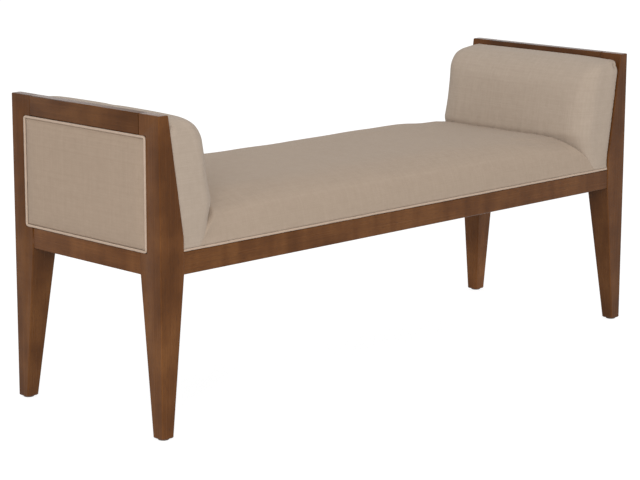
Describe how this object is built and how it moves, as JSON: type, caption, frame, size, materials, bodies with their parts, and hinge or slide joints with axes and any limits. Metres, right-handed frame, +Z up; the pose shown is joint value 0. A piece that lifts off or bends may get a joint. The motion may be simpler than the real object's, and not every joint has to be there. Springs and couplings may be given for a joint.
{
  "type": "upholstered bench",
  "caption": "Long backless upholstered bench with a padded arm at each end, on wedge-tapered wooden posts joined by rails, for sitting or for resting luggage.",
  "frame": {"origin": "on the floor, under the middle of the bench", "axes": "+X along the bench towards its right end as seen from the front, +Y from the front to the rear, +Z up"},
  "size_m": [1.506, 0.475, 0.662],
  "materials": {
    "wood": "satin",
    "plain_wood": "matte",
    "plywood": "matte",
    "linen": "matte",
    "foam": "matte",
    "cambric": "matte",
    "zinc": "satin",
    "nylon": "satin"
  },
  "bodies": {
    "root": {"front_left_post": "wood", "front_left_glide": "nylon", "front_left_corner_block": "plain_wood", "front_left_rail_screw": "zinc", "front_left_end_screw": "zinc", "front_left_seat_screw": "zinc", "rear_left_post": "wood", "rear_left_glide": "nylon", "rear_left_corner_block": "plain_wood", "rear_left_rail_screw": "zinc", "rear_left_end_screw": "zinc", "rear_left_seat_screw": "zinc", "front_right_post": "wood", "front_right_glide": "nylon", "front_right_corner_block": "plain_wood", "front_right_rail_screw": "zinc", "front_right_end_screw": "zinc", "front_right_seat_screw": "zinc", "rear_right_post": "wood", "rear_right_glide": "nylon", "rear_right_corner_block": "plain_wood", "rear_right_rail_screw": "zinc", "rear_right_end_screw": "zinc", "rear_right_seat_screw": "zinc", "left_end_rail": "wood", "left_top_rail": "wood", "left_arm_board": "plywood", "left_arm_foam": "foam", "left_arm_cover": "linen", "left_panel_board": "plywood", "left_panel_foam": "foam", "left_panel_cover": "linen", "left_panel_welt": "linen", "right_end_rail": "wood", "right_top_rail": "wood", "right_arm_board": "plywood", "right_arm_foam": "foam", "right_arm_cover": "linen", "right_panel_board": "plywood", "right_panel_foam": "foam", "right_panel_cover": "linen", "right_panel_welt": "linen", "front_rail": "wood", "rear_rail": "wood", "cross_stretcher_1": "plain_wood", "cross_stretcher_2": "plain_wood", "seat_deck": "plywood", "seat_foam": "foam", "seat_cover": "linen", "front_welt": "linen", "rear_welt": "linen", "dust_cover": "cambric"}
  },
  "joints": []
}
